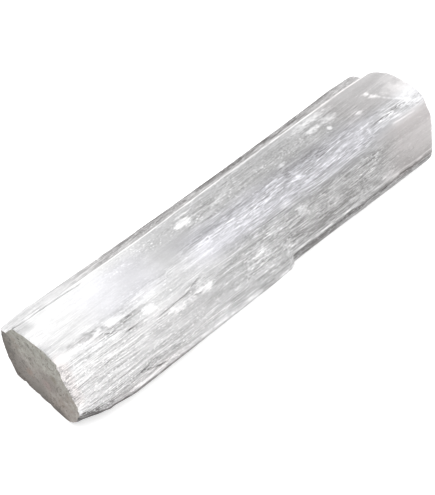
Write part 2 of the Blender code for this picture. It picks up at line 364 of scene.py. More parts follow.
# %% Crushed white bruises, as (along, around, half length, half width, whiteness)
BRUISES = (
    # On the crown and the fold.
    (40.2, 4.3, 1.1, 0.80, 1.0), (38.9, 4.5, 0.9, 0.6, 0.95), (42.1, 4.8, 0.8, 0.4, 0.3),
    (41.8, 2.1, 1.5, 0.3, 0.7), (50.3, 4.3, 1.4, 0.4, 0.6), (47.5, 5.0, 1.2, 0.3, 0.4),
    (59.7, 9.2, 1.8, 0.3, 0.5), (61.5, 8.6, 1.2, 0.25, 0.4), (64.2, 6.9, 0.9, 0.35, 0.6),
    (64.3, 11.5, 0.8, 0.35, 0.7), (66.2, 13.2, 1.2, 0.9, 0.32), (75.2, 12.0, 2.0, 0.25, 0.45),
    (78.5, 11.9, 1.3, 0.3, 0.45), (84.0, 10.9, 1.8, 0.2, 0.6), (84.1, 12.3, 0.4, 0.6, 0.6),
    (81.5, 11.6, 1.4, 0.2, 0.5), (78.6, 6.5, 0.36, 0.33, 1.0), (80.8, 4.4, 1.5, 0.8, 0.55),
    (76.3, 4.4, 1.9, 0.45, 0.75), (79.0, 1.7, 3.6, 0.8, 0.65), (74.0, 2.2, 2.0, 0.6, 0.5),
    (86.0, 7.5, 0.7, 0.35, 0.7), (91.3, 4.9, 0.6, 0.36, 0.75), (91.9, 6.2, 0.6, 0.40, 0.75),
    (95.9, 11.6, 0.7, 0.5, 0.5),
    # On the front.
    (82.7, 18.8, 0.8, 0.7, 0.2), (85.5, 22.8, 1.6, 0.6, 0.5), (35.2, 19.2, 0.9, 0.60, 1.1),
    (33.2, 18.6, 0.9, 0.45, 0.7), (34.2, 19.8, 0.9, 0.14, 0.7), (28.4, 19.4, 0.9, 0.6, 0.75),
    (21.5, 15.5, 1.0, 0.7, 0.8), (26.6, 19.0, 0.9, 0.6, 0.6), (31.0, 19.4, 0.9, 0.45, 0.55),
    (49.5, 20.8, 2.2, 1.3, 0.5), (61.4, 17.7, 1.1, 0.6, 0.6), (46.5, 21.8, 1.2, 0.6, 0.5),
    (53.5, 18.2, 1.5, 0.5, 0.45), (70.0, 20.6, 1.6, 0.6, 0.4), (76.0, 22.6, 2.0, 0.7, 0.3),
    (57.0, 22.6, 1.4, 0.6, 0.45),
)
speckle = grain(71, 0.7, 0.27, 3)
bruise = np.zeros_like(relief)
for place_along, place_around, half_length, half_width, white in BRUISES:
    off_along = ((along[:, None] - place_along) / half_length) ** 2
    off_around = ((around[None, :] - place_around) / half_width) ** 2
    ragged_reach = 1.25 - 0.60 * np.sqrt(off_along + off_around) + 0.35 * speckle
    bruise = np.maximum(bruise, white * np.clip(ragged_reach, 0.0, 1.0))
relief += 0.06 * ramp(bruise, 0.3, 0.9) * (1.0 + speckle)
print("bruised share of the net: %.2f%%" % (100 * (bruise > 0.5).mean()))

# %% Thin bright scratches, as (route, half width, whiteness), and glints on the low edges
SCRATCHES = (
    (((92.2, 6.6), (93.2, 8.4), (93.9, 9.4), (95.4, 10.8)), 0.55, 0.9),
    (((37.2, 19.2), (40.5, 18.9), (46.2, 19.2)), 0.15, 1.5),
    (((90.5, 14.3), (95.6, 14.6)), 0.24, 0.8), (((60.0, 12.8), (73.0, 12.5)), 0.14, 0.6),
    (((78.0, 13.4), (92.0, 13.2)), 0.16, 0.6), (((82.0, 23.9), (100.0, 24.0)), 0.20, 0.7),
    (((58.0, 24.1), (82.0, 23.9)), 0.18, 0.45),
    # The next row, along the splinter's edge, is a painted glint on that edge.
    (((8.0, 27.2), (14.0, 27.3), (22.0, 27.0), (30.0, 27.3)), 0.32, 0.8),
    (((1.0, 18.0), (13.0, 17.6)), 0.16, 0.5), (((16.0, 21.6), (34.0, 21.9)), 0.15, 0.5),
    (((47.0, 16.4), (62.0, 16.7)), 0.14, 0.5), (((66.0, 15.0), (78.0, 15.1)), 0.14, 0.5),
    (((48.0, 2.4), (62.0, 2.2)), 0.14, 0.5),
)
scratches = strongest_marks(SCRATCHES, 0.12, 80) * (0.75 + 0.35 * grain(55, 2.5, 30.0))
SPLINTER_EDGE = ((12.0, 27.3), (30.0, 27.4), (44.0, 27.6), (56.0, 27.7))
BROKEN_EDGE = ((58.0, 24.3), (100.0, 24.2))
glints = line_mark(SPLINTER_EDGE, 0.42) * ramp(grain(56, 2.2, 30.0, 3), -0.1, 0.25)
far_glints = line_mark(BROKEN_EDGE, 0.36) * ramp(grain(57, 1.8, 30.0, 3), 0.0, 0.3)
print("scratches:", len(SCRATCHES))

# %% [markdown]
# ## Worn ends
# The saw leaves a flat face with a slightly chipped rim, and handling rounds the far end. A bevel
# would round every rim alike, and these are not alike. So the rim is drawn in along a quarter
# circle, by more in some places than in others, and the strip of the underside that the stick
# stands on is left alone, so that it lies flat.

# %% Worn and bitten rims
def rim_wear(from_end, wear, depth):
    """How far a rim is drawn in, along a quarter circle that starts a given depth from the end."""
    into_rim = np.clip(1.0 - from_end / depth, 0.0, 1.0)
    return wear * (1.0 - np.sqrt(1.0 - into_rim**2))


chips = 1.0 + 0.5 * grain(81, 1.5, 1.1)
near_an_end = ramp(along, LENGTH - 5.0, LENGTH) + 1.0 - ramp(along, 0.0, 1.5)
relief *= 1.0 - 0.6 * near_an_end[:, None]
sawn_foot = np.outer(1.0 - ramp(along, 0.0, 3.0), window(around, (34.0, 50.0), 1.5))
relief = (relief + rim_wear(along, 0.2, 0.7)[:, None] * chips) * (1.0 - 0.75 * sawn_foot)
relief += rim_wear(LENGTH - along, 0.4, 1.4)[:, None] * chips
bitten = window(around, (14.6, 18.6), 1.4) + 0.5 * window(around, (19.8, 22.6), 0.8)
relief += np.outer(rim_wear(along, 0.85, 1.5), bitten) * (0.8 + 0.5 * grain(82, 1.4, 0.9, 3))
# Notches in the sawn rim, as (around, half width, depth). Each runs out along the stick.
NOTCHES = (
    (46.2, 0.8, 0.60), (42.3, 0.7, 0.30), (39.2, 0.9, 0.30), (33.4, 1.5, 0.35), (25.8, 0.5, 0.25),
)
for place_around, half_width, deep in NOTCHES:
    notch = np.clip(1.0 - np.abs(around - place_around) / half_width, 0.0, 1.0)
    relief += deep * np.outer(1.0 - ramp(along, 0.5, 5.0), notch)
print("rim drawn in by up to %.2f mm" % relief[0].max())

# %% The underside and the finished surface
# The strip of the foot between these y values keeps the model's own flat face.
FLAT_UNDERSIDE = (-5.5, 4.8)
CROWN_TOP = 16.88
standing = window(outline[..., 0], FLAT_UNDERSIDE, 0.6) * window(outline[..., 1], (0.0, 0.0), 1.2)
relief *= 1.0 - 0.85 * standing * ramp(along, 1.0, 6.0)[:, None]

tangent = np.roll(outline, -1, axis=1) - np.roll(outline, 1, axis=1)
tangent /= np.linalg.norm(tangent, axis=2, keepdims=True)
inward = smoothed(np.stack((-tangent[..., 1], tangent[..., 0]), axis=-1), 0.35, 1)
inward /= np.linalg.norm(inward, axis=2, keepdims=True)
surface = outline + inward * relief[..., None]
surface[..., 1] = np.clip(surface[..., 1], 0.0, CROWN_TOP)
sawn_end = smoothed(round_the_section(SAWN_END), 0.6, 0)[None, :]
far_end = smoothed(round_the_section(FAR_END), 0.9, 0)[None, :]
along_here = sawn_end + along[:, None] * (far_end - sawn_end) / LENGTH - MIDDLE_ALONG
points = np.concatenate((along_here[..., None], surface), axis=-1)
print("flank: %.1f mm long, %.1f mm tall" % (np.ptp(points[..., 0]), points[..., 2].max()))

# %% [markdown]
# ## The end faces
# Each end is closed by rings that shrink onto one fibre near the middle. A single many-sided face
# would be quicker, but it could not hold the low lumps and saw marks of a cut end.

# %% Rings that close an end
CAP_RINGS = 9
HEART = np.array((-0.3, 7.8))
LUMP_SIZE, TOOTH_SIZE = 3.5, 0.55


def end_rings(rim, outward, lump, tooth):
    """Rings from the rim to the heart fibre, as an (index, place, xyz) array, and the heart."""
    rings = []
    for share in np.linspace(1.0, 0.0, CAP_RINGS + 2)[1:-1]:
        ring = rim.copy()
        ring[:, 1:] = HEART + (rim[:, 1:] - HEART) * share
        ring[:, 0] = rim[:, 0].mean() + (rim[:, 0] - rim[:, 0].mean()) * share
        for point in ring:
            low = noise.noise(Vector((0.0, point[1], point[2])) / LUMP_SIZE)
            fine = noise.noise(Vector((7.0, point[1], point[2])) / TOOTH_SIZE)
            sunk = lump * (0.5 + low) + tooth * (0.5 + fine)
            point[0] -= outward * sunk * ramp(1.0 - share, 0.0, 0.15)
        rings.append(ring)
    heart = np.array((rings[-1][:, 0].mean(), *HEART))
    return np.array(rings), heart


sawn_rings, sawn_heart = end_rings(points[0], -1.0, 0.12, 0.05)
far_rings, far_heart = end_rings(points[-1], 1.0, 0.35, 0.10)

# %% Build the mesh
def bands(count, size):
    """Quads that join count + 1 rings of a size, one after another."""
    ring = np.arange(count)[:, None]
    here = np.arange(size)[None, :]
    beside = (here + 1) % size
    a, b = ring * size + here, ring * size + beside
    c, d = (ring + 1) * size + beside, (ring + 1) * size + here
    return np.stack((a, b, c, d), axis=-1).reshape(-1, 4)


size = points.shape[1]
stations = len(along)
vertices = np.concatenate((
    sawn_rings[::-1].reshape(-1, 3), points.reshape(-1, 3), far_rings.reshape(-1, 3),
    [sawn_heart, far_heart],
))
ring_count = 2 * CAP_RINGS + stations
quads = bands(ring_count - 1, size)
heart_sawn, heart_far = len(vertices) - 2, len(vertices) - 1
here = np.arange(size)
fan_sawn = np.stack((here, (here + 1) % size, np.full(size, heart_sawn)), axis=-1)
last = (ring_count - 1) * size
fan_far = np.stack((last + here, last + (here + 1) % size, np.full(size, heart_far)), axis=-1)
faces = quads.tolist() + fan_sawn[:, ::-1].tolist() + fan_far.tolist()
stick_mesh = bpy.data.meshes.new("selenite_stick_body")
stick_mesh.from_pydata((vertices * MM).tolist(), [], faces)
stick_mesh.validate()
stick = bpy.data.objects.new("selenite_stick_body", stick_mesh)
bpy.context.scene.collection.objects.link(stick)
print("stick:", len(vertices), "points,", 2 * len(quads) + 2 * size, "triangles")

# %% [markdown]
# ## Where the fibres are milky, and where light and shade are painted
# Fresh fibres are clear and look grey. Where they have parted, been crushed or been rubbed they
# scatter light and turn white. The same stored whiteness also holds painted shade under the edges,
# in the creases and the crevice, and painted sheen and highlights near the sawn end, on the band,
# the laths and the edges. A painted picture could hold those places, but it would blur at the
# scale of a hair. They are stored on the mesh's points instead, so that the finish follows the
# same laths, scars and edges that the relief has.

# %% Helpers that shape a patch
def zone(along_span, around_span, fade_along, fade_around):
    """A soft patch: 1 inside both spans, fading outside them."""
    along_share = window(along, along_span, fade_along)
    return np.outer(along_share, window(around, around_span, fade_around))


def zones(*rows):
    """The sum of soft patches, each given as a weight and then what zone takes."""
    return sum(weight * zone(*patch) for weight, *patch in rows)


def strip(start, end, around_span, fade):
    """A strip between two places around, which fades in along the stick."""
    return np.outer(ramp(along, start, end), window(around, around_span, fade))


def ragged_edge(values, roughness, seed, length, width):
    """Breaks the soft edge of a patch into streaks."""
    edge = 4.0 * values * (1.0 - values) + 0.25
    return np.clip(values + roughness * grain(seed, length, width, 3) * edge, 0.0, 1.0)


# %% Milky fibres and painted sheen near the sawn end
crown_fall = 1.0 - 0.30 * ramp(around, 5.0, 10.0) - 0.70 * ramp(around, 12.5, 15.0)
rear_crown = np.outer(1.0 - ramp(along, 13.0, 46.0), 1.0 - ramp(around, 5.0, 9.0))
front_crown = np.outer(1.0 - ramp(along, 6.0, 60.0), ramp(around, 5.0, 9.0))
crown_glow = (rear_crown + front_crown) * crown_fall[None, :]
front_glow = np.outer(1.0 - ramp(along, 4.0, 36.0), window(around, (13.5, 26.0), 1.5))
rear_glow = np.outer(1.0 - ramp(along, 12.0, 26.0), window(around, (58.0, 68.3), 1.5))
# The whiteness at the sawn end is partly milky fibres and partly a painted sheen.
sawn_milk_and_sheen = 0.50 * ragged_edge(crown_glow, 0.22, 91, 8.0, 3.2)
sawn_milk_and_sheen += 0.30 * ragged_edge(front_glow, 0.45, 98, 9.0, 0.8)
sawn_milk_and_sheen += 0.34 * ragged_edge(rear_glow, 0.4, 88, 10.0, 1.0)
print("glow at the sawn end: up to %.2f" % sawn_milk_and_sheen.max())

# %% A silky band, partly milky and partly a painted sheen, and wisps
BAND = (
    (24.0, 9.6), (36.7, 11.2), (45.0, 11.5), (55.2, 11.4), (64.3, 11.7), (75.0, 11.9),
    (84.0, 11.6), (101.0, 12.4),
)
from_band = np.abs(around[None, :] - follow(BAND)[:, None])
band = np.clip(1.15 - from_band / 2.3, 0.0, 1.0) * ramp(along, 24.0, 38.0)[:, None]
band = band * ramp(grain(92, 6.0, 0.9, 4), -0.55, 0.45)
wisps = ramp(grain(96, 4.5, 0.9, 3), 0.05, 0.75)
print("band covers %.1f%% of the net" % (100 * (band > 0.5).mean()))

# %% White edges: the ridge, partly a painted highlight, the two rims and the splinter's end
ridge_wander = 0.12 + 0.08 * grain(90, 2.5, 40.0, 3)[:, :1]
# The ridge line is partly crushed white edge and partly a painted highlight where the sharp edge
# catches light.
ridge_wear_and_highlight = np.clip(1.35 - np.abs(around[None, :] - ridge_wander) / 0.25, 0.0, 1.0)
ridge_wear_and_highlight = ridge_wear_and_highlight * (0.85 + 0.60 * grain(93, 2.2, 3.0, 3)) * ramp(along, 14.0, 26.0)[:, None]
ridge_wear_and_highlight = ridge_wear_and_highlight * (1.0 - 0.5 * ramp(along, 96.0, 99.0))[:, None]
chip_reach = 0.15 + 1.5 * ramp(grain(89, 30.0, 0.8, 3), -0.5, 0.5)
rim_chips = np.clip(1.2 - along[:, None] / chip_reach, 0.0, 1.0)
rim_chips = rim_chips * window(around, (17.6, 22.6), 0.8)[None, :]
sawn_rim = (1.0 - ramp(along, 0.15, 1.1))[:, None] * ramp(grain(94, 1.2, 1.0, 2), -0.6, 0.5)
below_the_crown = window(around, (17.0, 68.3), 2.0)
sawn_rim = sawn_rim * (1.0 - rim_chips) * (-0.3 + 1.3 * below_the_crown)[None, :]
off_frost = ((along[:, None] - 99.2) / 4.6) ** 2 + ((around[None, :] - 9.8) / 4.4) ** 2
far_frost = ramp(1.35 - np.sqrt(off_frost) + 0.75 * grain(95, 1.7, 1.7, 3), 0.0, 1.3)
splinter_frost = zone((52.0, 57.0), (24.8, 28.4), 3.0, 0.8)
far_rim = np.outer(ramp(along, 91.0, 99.0), 1.0 - window(around, (24.0, 60.0), 1.5))
print("frosted share of the net: %.2f%%" % (100 * (far_frost > 0.5).mean()))

# %% Where the grain is calm, or short
short_grained = zone((48.0, 84.0), (8.0, 27.0), 12.0, 3.0)
quiet = 0.12 * short_grained + 1.3 * torn_shade + zones(
    (0.35, (29.0, 43.0), (18.8, 24.0), 4.0, 1.5), (0.70, (92.0, 101.0), (14.5, 23.5), 9.0, 2.0),
    (0.38, (24.0, 43.0), (12.0, 16.5), 4.0, 1.5), (0.25, (15.0, 27.0), (17.0, 23.0), 4.0, 1.5),
)
lively = 1.0 - np.clip(quiet, 0.0, 0.7)
lath_tone = lath_tone * lively

# %% Where it looks dark: a clearer ledge, and painted shade behind the ridge, on the ledge's rim, under the edges and along the creases
ledge_shade = strip(10.0, 26.0, (61.5, 67.7), 0.8)
root_shade = strip(14.0, 30.0, (66.9, 67.8), 0.35)
ledge_rim_shade = strip(24.0, 34.0, (60.5, 63.2), 1.0)
low_strip_shade = strip(56.8, 57.5, (25.1, 34.0), 0.25)
low_crease_shadow = strip(57.0, 58.5, (24.5, 25.2), 0.15) * ramp(grain(58, 3.0, 30.0, 2), -0.6, 0.2)
edge_fall = 1.0 - 0.75 * ramp(along, 24.0, 36.0) - 0.25 * ramp(along, 50.0, 56.0)
undercut_shade = np.outer(edge_fall, window(around, (27.85, 34.0), 0.25))
crease_shade = zones(
    (1.0, (4.0, 26.0), (25.3, 26.8), 5.0, 0.6), (1.0, (42.0, 56.5), (25.2, 27.0), 5.0, 0.6),
)
rear_flank = window(around, (49.5, 60.5), 1.5)[None, :]

# %% Where loose grains lie between the fibres
sandy = zones(
    (0.7, (55.0, 92.0), (17.5, 26.5), 10.0, 1.5), (1.1, (42.0, 54.0), (18.0, 23.0), 3.0, 1.5),
    (0.8, (22.0, 60.0), (1.0, 5.0), 6.0, 2.0), (0.5, (42.0, 76.0), (2.0, 9.0), 6.0, 2.0),
    (0.5, (10.0, 60.0), (12.0, 24.0), 8.0, 2.0),
)
sandy = sandy + 0.9 * near_front + 0.6 * ledge_shade + 0.5 * band
sandy = np.clip((sandy + 0.22) * (1.0 + 0.5 * grain(99, 6.0, 2.0, 2)), 0.05, 1.25)

# %% How frayed the fibres are
clean_top = zone((14.0, 34.0), (2.0, 9.5), 6.0, 2.0) + zone((88.0, 99.0), (1.5, 8.5), 3.0, 1.2)
clean_top = np.maximum(clean_top, 0.45 * zone((58.0, 90.0), (1.5, 8.5), 6.0, 1.0))
clean_top = np.maximum(clean_top, 0.7 * zone((92.0, 101.0), (15.5, 24.0), 9.0, 1.5))
clean_top = np.clip(clean_top, 0.0, 1.0)
frayed = 0.62 + 0.35 * band + 0.30 * grain(97, 9.0, 2.0, 2) - 0.48 * clean_top
frayed = frayed + 0.20 * (splitness - 0.5)
frayed = np.clip(frayed + 0.25 * front_glow + 0.15 * ledge_shade, 0.08, 1.25)
frayed = frayed * (1.0 - 0.65 * far_frost)
print("frayed: mean %.2f" % frayed.mean())

# %% The whole of the whiteness: milk and painted sheen at the sawn end, the band, wisps and the laths' painted light
milk_and_painted_light = sawn_milk_and_sheen + 0.10 * band + 0.16 * wisps * frayed * (1.0 - clean_top) * lively
milk_and_painted_light = milk_and_painted_light + lath_tone * frayed + 0.10 * rear_flank * (narrow_tone + hair_tone - 1.0)
milk_and_painted_light += 0.07 * near_front + 0.04 * far_rim + 0.03 * ledge_shade

# %% Milkier and clearer patches
# Each is (change, along from, to, around from, to, fade along, fade around).
PATCHES = (
    # Broad ones: a milky shoulder and low front near the sawn end, and a clearer far half.
    (0.12, 21.0, 38.0, 12.0, 17.5, 4.0, 1.5),
    (0.06, 14.0, 48.0, 21.5, 28.0, 10.0, 1.5),
    (-0.09, 64.0, 84.0, 1.0, 9.0, 10.0, 1.5),
    (-0.08, 62.0, 101.0, 17.0, 24.5, 22.0, 3.0),
    (-0.06, 60.0, 96.0, 20.5, 24.3, 10.0, 1.5),
    # Sawn third: clear streaks between the milky ones, and a grey corner beside the long crack.
    (-0.24, 0.0, 2.2, 0.0, 3.0, 1.5, 1.5),
    (-0.07, 0.5, 6.0, 10.5, 15.0, 2.0, 1.5),
    (-0.10, 0.0, 8.0, 64.0, 67.6, 3.0, 0.8),
    (-0.06, 0.0, 30.0, 21.4, 22.8, 3.0, 0.7),
    (-0.12, 7.0, 12.0, 20.0, 21.6, 2.0, 0.7),
    (-0.12, 8.0, 24.0, 23.5, 26.8, 4.0, 1.0),
    (-0.04, 8.0, 27.0, 6.5, 12.0, 6.0, 1.5),
    (-0.12, 17.0, 31.0, 11.2, 14.0, 4.0, 1.2),
    (-0.05, 20.0, 58.0, 3.5, 6.2, 4.0, 1.2),
    # Middle: a clear crown, and milky places under the band and before the splinter's step.
    (-0.08, 31.0, 48.0, 6.8, 9.4, 5.0, 1.2),
    (-0.08, 36.0, 43.0, 9.8, 11.6, 3.0, 0.8),
    (0.06, 32.0, 40.0, 13.6, 16.0, 3.0, 1.0),
    (-0.10, 34.0, 48.0, 21.6, 23.2, 4.0, 0.8),
    (0.09, 45.0, 51.0, 11.6, 15.0, 3.0, 1.0),
    (0.10, 44.0, 56.0, 24.0, 27.0, 4.0, 0.8),
    (-0.10, 57.0, 78.0, 8.2, 11.4, 5.0, 1.2),
    # Far half: light beside the ridge, a clear low front, a milky patch and a paler far rim.
    (0.06, 38.0, 101.0, 0.4, 1.5, 5.0, 0.5),
    (-0.06, 48.0, 101.0, 22.0, 27.0, 5.0, 1.5),
    (-0.10, 48.0, 70.0, 27.0, 29.0, 5.0, 0.8),
    (-0.10, 55.0, 80.0, 61.0, 64.0, 4.0, 1.0),
    (0.08, 77.0, 88.0, 21.8, 25.4, 3.0, 1.2),
    (-0.06, 67.0, 88.0, 16.5, 22.4, 4.0, 1.5),
    (0.06, 90.0, 101.0, 13.0, 22.0, 6.0, 1.5),
    (0.09, 91.0, 97.0, 11.3, 15.0, 2.0, 1.0),
    (0.08, 97.0, 101.0, 4.0, 10.0, 1.5, 2.0),
)
for change, start, stop, low, high, fade_along, fade_around in PATCHES:
    milk_and_painted_light += change * zone((start, stop), (low, high), fade_along, fade_around)

# %% Painted shade, then white edges, painted highlights and marks over them
DARKEST, MILKIEST = -0.6, 0.9
# Painted shade: on the ledge's rim, behind the ridge, on the scar's step and torn strokes, along
# the low strip and crease line, under the edges, along the creases and in the crevice.
milk_and_painted_light -= 0.15 * ledge_rim_shade + 0.14 * root_shade + 0.08 * scar_step + torn_shade * (0.35 + 0.95 * scales)
milk_and_painted_light -= 0.17 * low_strip_shade + 0.20 * low_crease_shadow + 0.40 * undercut_shade
milk_and_painted_light -= 0.14 * crease_shade + 0.30 * crevice
milk_and_painted_light = np.clip(milk_and_painted_light, DARKEST, MILKIEST)
# Over them go white edges and marks; the ridge line is partly, and the glints wholly, painted
# highlight.
milk_and_painted_light = milk_and_painted_light + 0.64 * ridge_wear_and_highlight + 0.30 * sawn_rim + 0.29 * far_frost + 0.08 * splinter_frost
milk_and_painted_light += 0.45 * scratches + 0.36 * glints + 0.32 * far_glints
milk_and_painted_light -= 0.50 * crack_shade + 0.22 * rim_chips
# The last term is painted shade in the undercut at the sawn end's low front corner.
milk_and_painted_light = np.clip(milk_and_painted_light, DARKEST, 1.0) - 0.4 * zone((0.0, 6.0), (28.8, 33.5), 4.0, 0.6)
print("milky share: %.2f" % milk_and_painted_light.mean())

# %% Tints: a lilac band and warm places
lilac_band = np.clip(1.6 - from_band / 3.4, 0.0, 1.0) * ramp(along, 29.0, 40.0)[:, None]
lilac = 0.8 * lilac_band + 0.5 * zone((15.0, 25.0), (4.0, 11.0), 6.0, 3.0)
lilac = np.clip(lilac * (1.0 - 0.7 * ramp(along, 80.0, 92.0))[:, None], 0.0, 1.0)
warm = zones(
    (1.0, (91.0, 101.0), (15.5, 25.0), 8.0, 2.0), (0.1, (64.0, 88.0), (19.0, 24.5), 10.0, 3.0),
    (0.15, (0.0, 32.0), (18.0, 28.0), 8.0, 2.0), (0.45, (84.0, 101.0), (0.0, 8.0), 5.0, 2.0),
    (0.35, (9.0, 24.0), (26.6, 27.9), 4.0, 0.8), (1.2, (0.0, 1.0), (13.0, 23.0), 1.6, 2.0),
)
warm = np.clip(warm + 0.35 * ledge_shade + 0.25 * ridge_wear_and_highlight + 0.2 * scar_step, 0.0, 1.3)
print("lilac share: %.2f, warm share: %.2f" % (lilac.mean(), warm.mean()))

# %% Store them on the points
def store_on_points(name, net_values, cap_values=0.0):
    """One number per point; the end faces take one value, or one for each ring from the rim in."""
    cap = np.zeros((CAP_RINGS, size)) + cap_values
    values = np.concatenate((cap[::-1].ravel(), net_values.ravel(), cap.ravel(), [0.0, 0.0]))
    layer = stick_mesh.attributes.new(name, "FLOAT", "POINT")
    layer.data.foreach_set("value", values.astype(np.float32))


band_rise = 0.65 + 0.45 * ramp(along, 58.0, 72.0) + 0.3 * ramp(along, 82.0, 94.0)
dashed_front = 0.5 * zone((42.0, 51.0), (16.5, 24.0), 3.0, 1.5)
FIBRE_VALUES = {
    "milk_and_painted_light": milk_and_painted_light, "lilac": lilac, "crushed": bruise, "frayed": frayed, "warm": warm,
    "sandy": sandy, "banded": np.clip(band * band_rise[:, None] + 0.45 * ledge_shade, 0.0, 1.4),
    "grooved": near_front * (1.0 - 0.4 * ramp(along, 14.0, 24.0))[:, None],
    "lively": lively, "dashed": short_grained * (1.0 - 0.6 * clean_top) + dashed_front,
}
for name, values in FIBRE_VALUES.items():
    store_on_points(name, values)
# Painted shade along the sawn face's low and rear rim, fading out halfway in.
low_rim_shade = window(around, (35.0, 64.0), 3.0)[None, :]
into_face = np.linspace(0.0, 1.0, CAP_RINGS + 2)[1:-1, None]
rim_shade_share = low_rim_shade * np.clip(1.0 - into_face / 0.5, 0.0, 1.0)
store_on_points("rim", low_rim_shade + np.zeros_like(milk_and_painted_light), rim_shade_share)

# %% [markdown]
# ## The silky finish
# Thousands of parallel fibres each reflect a thin line of light, so satin spar has a sheen that
# spreads across the fibres and stays narrow along them. The shader's anisotropy does that, with
# its direction running round the stick. The colour comes from noises drawn out along the fibres,
# in three widths, because real streaks range from broad veils to single bright hairs.

# %% Helpers for materials
def fill(tree, target, values):
    """Sets a node's inputs, by a link where the value is another node's output."""
    for name, value in values.items():
        if isinstance(value, bpy.types.NodeSocket):
            tree.links.new(value, target.inputs[name])
        else:
            target.inputs[name].default_value = value


def node(tree, kind, inputs=None, **settings):
    """A node with its settings made and its inputs linked or filled in."""
    made = tree.nodes.new(kind)
    for name, value in settings.items():
        setattr(made, name, value)
    fill(tree, made, inputs or {})
    return made


def attribute(tree, name):
    """A value stored on the mesh's points."""
    return node(tree, "ShaderNodeAttribute", attribute_name=name).outputs["Fac"]


def new_material(name):
    """A material, its node tree and its shader."""
    material = bpy.data.materials.new(name)
    material.use_nodes = True
    return material, material.node_tree, material.node_tree.nodes["Principled BSDF"]


# %% Helpers that combine values
def maths(tree, operation, *values, clamped=False):
    """The result of one operation on values."""
    settings = {"operation": operation, "use_clamp": clamped}
    return node(tree, "ShaderNodeMath", dict(enumerate(values)), **settings).outputs[0]


def sums(tree, start, *terms):
    """start plus each (socket, weight), one after another."""
    total = start
    for socket, weight in terms:
        total = maths(tree, "MULTIPLY_ADD", socket, weight, total)
    return total


def product(tree, first, second):
    """One value times another."""
    return maths(tree, "MULTIPLY", first, second)


def threshold(tree, value, start, end):
    """0 before start, 1 after end."""
    return node(tree, "ShaderNodeMapRange", {0: value, 1: start, 2: end}).outputs[0]


def between(tree, factor, low, high):
    """Maps a 0 to 1 factor to a range."""
    return node(tree, "ShaderNodeMapRange", {0: factor, 3: low, 4: high}).outputs[0]


# %% Helpers for colours
def colour_ramp(tree, factor, stops):
    """A ramp through (position, colour) stops."""
    made = node(tree, "ShaderNodeValToRGB", {0: factor})
    elements = made.color_ramp.elements
    while len(elements) < len(stops):
        elements.new(0.5)
    for element, (position, colour) in zip(elements, stops):
        element.position = position
        element.color = (*colour, 1.0)
    return made.outputs[0]


def mix_colour(tree, factor, first, second, blend="MIX"):
    """The second colour over the first one, by a factor."""
    inputs = {0: factor, 6: first, 7: second}
    for place, value in inputs.items():
        if isinstance(value, tuple):
            inputs[place] = (*value, 1.0)
    return node(tree, "ShaderNodeMix", inputs, data_type="RGBA", blend_type=blend).outputs[2]


# %% Helpers that draw streaks
# How far streaks waver in millimetres, and how many times they do so in one millimetre.
WAVER, WAVES_EACH = 1.5, 0.06


def bent_place(tree):
    """Object coordinates pushed about across the fibres, so that lines waver."""
    place = node(tree, "ShaderNodeTexCoord").outputs["Object"]
    waves = {"Vector": place, "Scale": WAVES_EACH / MM, "Detail": 1.0}
    push = node(tree, "ShaderNodeTexNoise", waves).outputs["Color"]
    across = {0: push, 1: (0.0, WAVER * MM, WAVER * MM)}
    scaled = node(tree, "ShaderNodeVectorMath", across, operation="MULTIPLY").outputs[0]
    return node(tree, "ShaderNodeVectorMath", {0: place, 1: scaled}, operation="ADD").outputs[0]


def streaks(tree, length, width, detail=2.0, shift=0.0):
    """Noise in streaks of a length and a width in millimetres."""
    scale = (1.0 / (length * MM), 1.0 / (width * MM), 1.0 / (width * MM))
    placed = {"Vector": bent_place(tree), "Location": (shift, shift, 0.0), "Scale": scale}
    mapped = node(tree, "ShaderNodeMapping", placed).outputs[0]
    noise_inputs = {"Vector": mapped, "Scale": 1.0, "Detail": detail}
    return node(tree, "ShaderNodeTexNoise", noise_inputs).outputs[0]


# %% Satin spar: streaks, from veils to hairs
spar, tree, shader = new_material("satin_spar_fibres")
banded_here, dashed_here = attribute(tree, "banded"), attribute(tree, "dashed")
cloud = streaks(tree, 6.0, 3.0, 2.0)
strand = streaks(tree, 10.0, 0.50, 2.0, 5.0)
hairline = threshold(tree, streaks(tree, 4.0, 0.22, 1.0, 9.0), 0.40, 0.60)
# Bright hairs are partly white fibre edges and partly painted glints.
bright_hair = threshold(tree, streaks(tree, 11.0, 0.21, 1.0, 33.0), 0.57, 0.60)
dark_hair = threshold(tree, streaks(tree, 8.0, 0.22, 1.0, 23.0), 0.60, 0.68)
grooves = threshold(tree, streaks(tree, 9.0, 0.21, 1.0, 81.0), 0.56, 0.63)
clump = threshold(tree, streaks(tree, 5.0, 1.2, 2.0, 17.0), 0.46, 0.62)
dash = threshold(tree, streaks(tree, 1.8, 0.21, 1.0, 13.0), 0.56, 0.62)
fleck = threshold(tree, streaks(tree, 1.0, 0.36, 2.0, 43.0), 0.57, 0.63)
crisp = threshold(tree, streaks(tree, 3.2, 0.22, 1.0, 91.0), 0.595, 0.635)
milky = threshold(tree, streaks(tree, 4.5, 1.1, 4.0, 51.0), 0.52, 0.62)

# %% Satin spar: sand between the fibres, and powder where they are crushed
grit = streaks(tree, 0.40, 0.26, 1.0, 27.0)
spark = threshold(tree, streaks(tree, 0.55, 0.26, 1.0, 19.0), 0.60, 0.67)
drift = threshold(tree, streaks(tree, 4.0, 1.6, 2.0, 71.0), 0.40, 0.62)
sand = sums(tree, -0.22, (grit, 0.34), (spark, 0.36))
sand = product(tree, sand, attribute(tree, "sandy"))
sand = product(tree, sand, sums(tree, 0.55, (drift, 0.6)))
fuzz = streaks(tree, 0.9, 0.5, 2.0, 61.0)
powder = sums(tree, -0.75, (fuzz, 1.1), (attribute(tree, "crushed"), 1.0))
powder = threshold(tree, powder, -0.05, 0.60)

